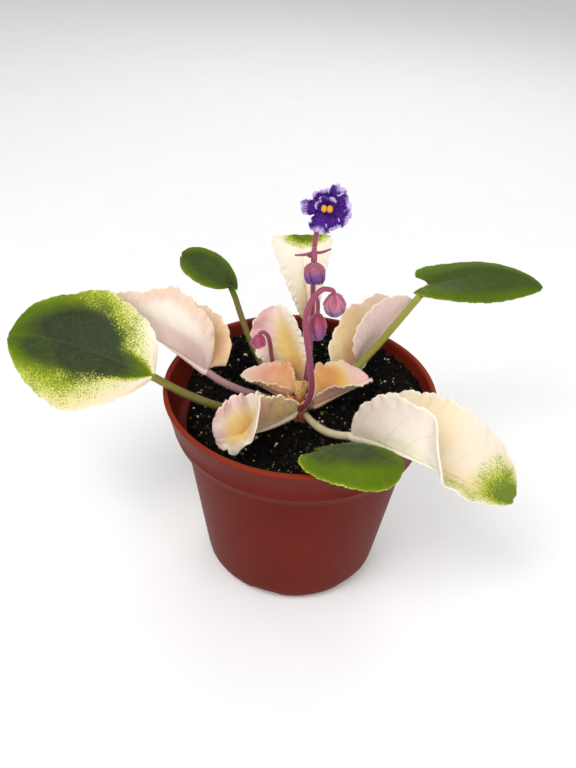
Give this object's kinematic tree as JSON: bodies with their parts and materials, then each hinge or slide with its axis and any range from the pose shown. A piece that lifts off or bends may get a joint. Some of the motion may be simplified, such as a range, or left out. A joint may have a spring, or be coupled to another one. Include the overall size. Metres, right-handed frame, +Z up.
{
  "type": "potted african violet",
  "caption": "Variegated african violet rosette with fuzzy cream, pink and green leaves, hanging buds and a small ruffled purple flower, growing in a tapered plastic nursery pot.",
  "frame": {"origin": "middle of the pot's flat underside, on the surface it stands on", "axes": "+Z up along the pot's axis, -Y towards the viewer of the picture, +X to the viewer's right"},
  "size_m": [0.211, 0.1288, 0.1555],
  "materials": {
    "pot_plastic": "thin terracotta-brown plastic, satin",
    "potting_soil": "dark crumbly potting soil with perlite",
    "crown_tissue": "short fleshy stem",
    "young_leaf": "tiny unopened leaves, downy",
    "green_leaf": "fleshy green leaf, downy",
    "cream_leaf": "fleshy cream leaf, downy",
    "pink_leaf": "fleshy pale pink leaf, downy",
    "coral_leaf": "fleshy coral leaf, downy",
    "flower_stalk": "magenta stalk, downy",
    "flower_bud": "closed pink and purple bud, downy",
    "petal": "deep violet ruffled petal, velvety",
    "anther": "yellow anthers, matt"
  },
  "bodies": {
    "root": {"pot": "pot_plastic", "soil": "potting_soil", "crown": "crown_tissue", "centre_leaflets": "young_leaf", "leaf_left": "green_leaf", "leaf_upper_left": "pink_leaf", "leaf_back_left": "green_leaf", "leaf_back": "cream_leaf", "leaf_inner_back": "cream_leaf", "leaf_right_back": "pink_leaf", "leaf_right": "green_leaf", "leaf_inner_left": "coral_leaf", "leaf_inner_right": "coral_leaf", "leaf_front_left": "cream_leaf", "leaf_right_front": "cream_leaf", "leaf_front": "green_leaf", "stalk_front": "flower_stalk", "stalk_flower": "flower_stalk", "stalk_left": "flower_stalk", "bud_front": "flower_bud", "bud_mid": "flower_bud", "bud_low": "flower_bud", "bud_left": "flower_bud", "flower_petals": "petal", "flower_anthers": "anther"}
  },
  "joints": []
}
